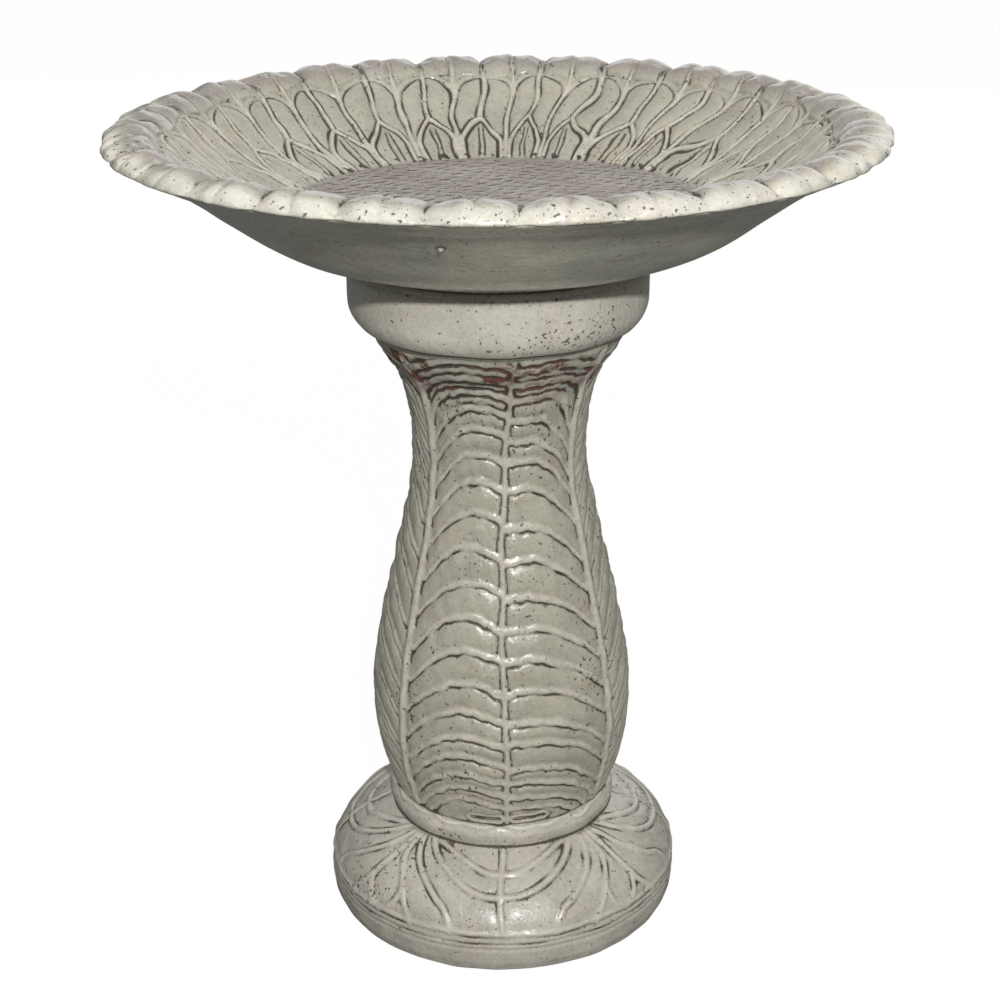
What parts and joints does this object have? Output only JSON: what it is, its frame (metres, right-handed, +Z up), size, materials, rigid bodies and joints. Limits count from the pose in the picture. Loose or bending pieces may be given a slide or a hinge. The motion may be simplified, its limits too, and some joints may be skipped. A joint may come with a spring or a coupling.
{
  "type": "bird bath",
  "caption": "Glazed ceramic bird bath: a shallow round bowl with a leaf-moulded inside and rolled leaf rim, lifting off a hollow vase-shaped pedestal.",
  "frame": {"origin": "centre of the pedestal's foot, on the ground", "axes": "+Z up along the axis that the bowl turns about, -Y towards the front, +X to the right"},
  "size_m": [0.506, 0.506, 0.5752],
  "materials": {
    "bowl_glaze": "glossy layered glaze",
    "pedestal_glaze": "glossy layered glaze",
    "seat_rubber": "matte"
  },
  "bodies": {
    "pedestal": {"pedestal": "pedestal_glaze"},
    "seat": {"seat_ring": "seat_rubber"},
    "bowl": {"bowl": "bowl_glaze"}
  },
  "joints": [
    {"name": "bowl_turn", "type": "hinge", "parent": "pedestal", "child": "seat", "pos_m": [0, 0, 0.455], "axis": [0, 0, 1], "continuous": true},
    {"name": "bowl_lift", "type": "slide", "parent": "seat", "child": "bowl", "axis": [0, 0, 1], "range_m": [0, 0.12]}
  ]
}
